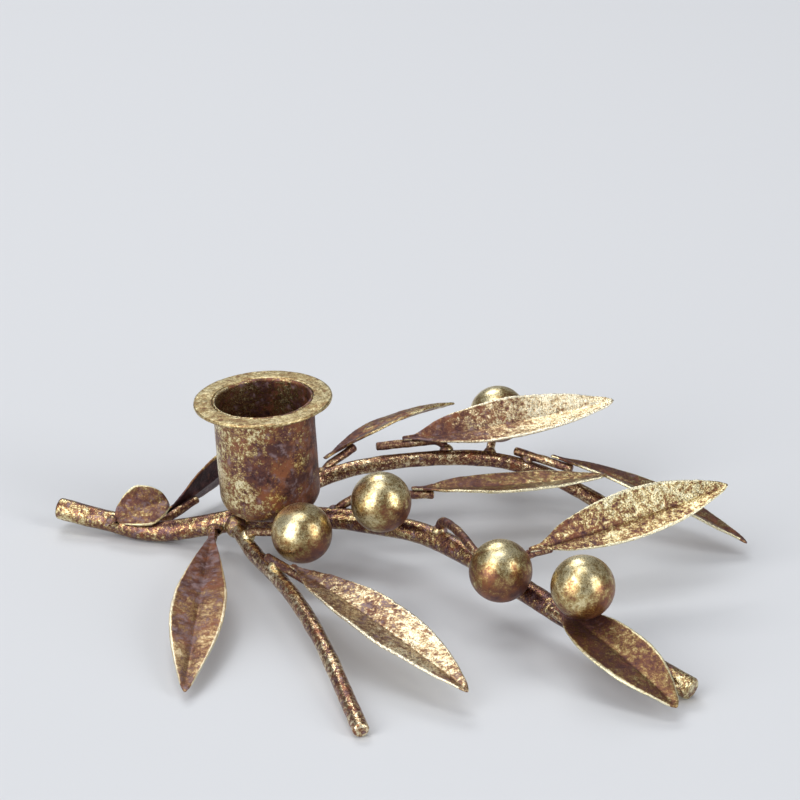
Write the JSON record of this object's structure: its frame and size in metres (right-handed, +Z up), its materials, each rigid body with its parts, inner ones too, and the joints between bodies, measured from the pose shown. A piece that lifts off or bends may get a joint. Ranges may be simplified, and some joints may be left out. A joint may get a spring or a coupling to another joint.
{
  "type": "candle holder",
  "caption": "Olive-branch candle holder: a bent iron branch that carries a taper cup with a drip ring, sheet leaves and ball berries on welded wires, in antique gold leaf.",
  "frame": {"origin": "on the table, under the middle of the whole piece", "axes": "+X along the main branch's length towards its right end, +Y to the rear branch's side, +Z up"},
  "size_m": [0.1662, 0.1316, 0.0407],
  "materials": {
    "branch_iron": "hammered iron rod, rust brown and purple under worn antique gold leaf",
    "wire_iron": "iron wire, rust brown under worn antique gold leaf",
    "cup_iron": "drawn iron cup, antique gold leaf with rust and purple-grey patches",
    "ring_iron": "sheet iron, matt olive gold leaf with a burnished edge",
    "leaf_sheet_iron": "pressed sheet iron, speckled antique gold leaf with purple-brown patches and burnished edges",
    "berry_iron": "ball, burnished antique gold leaf, rusty underneath",
    "weld_metal": "lumpy weld bead under bright antique gold leaf"
  },
  "bodies": {
    "root": {"main_branch": "branch_iron", "rear_branch": "branch_iron", "front_twig": "branch_iron", "left_rear_leaf_wire": "wire_iron", "front_left_leaf_wire": "wire_iron", "front_leaf_wire": "wire_iron", "right_front_leaf_wire": "wire_iron", "right_leaf_wire": "wire_iron", "middle_leaf_wire": "wire_iron", "rear_leaf_wire": "wire_iron", "rear_left_leaf_wire": "wire_iron", "rear_right_leaf_wire": "wire_iron", "cup_berry_stem": "wire_iron", "middle_berry_stem": "wire_iron", "hook_berry_stem": "wire_iron", "top_berry_stem": "wire_iron", "rear_berry_stem": "wire_iron", "candle_cup": "cup_iron", "drip_ring": "ring_iron", "left_stub_leaf": "leaf_sheet_iron", "left_rear_leaf": "leaf_sheet_iron", "front_left_leaf": "leaf_sheet_iron", "front_leaf": "leaf_sheet_iron", "right_front_leaf": "leaf_sheet_iron", "right_leaf": "leaf_sheet_iron", "middle_leaf": "leaf_sheet_iron", "rear_leaf": "leaf_sheet_iron", "rear_left_leaf": "leaf_sheet_iron", "rear_right_leaf": "leaf_sheet_iron", "cup_berry": "berry_iron", "middle_berry": "berry_iron", "hook_berry": "berry_iron", "top_berry": "berry_iron", "rear_berry": "berry_iron", "cup_weld": "weld_metal", "main_branch_welds": "weld_metal", "rear_branch_welds": "weld_metal", "front_twig_welds": "weld_metal"}
  },
  "joints": []
}
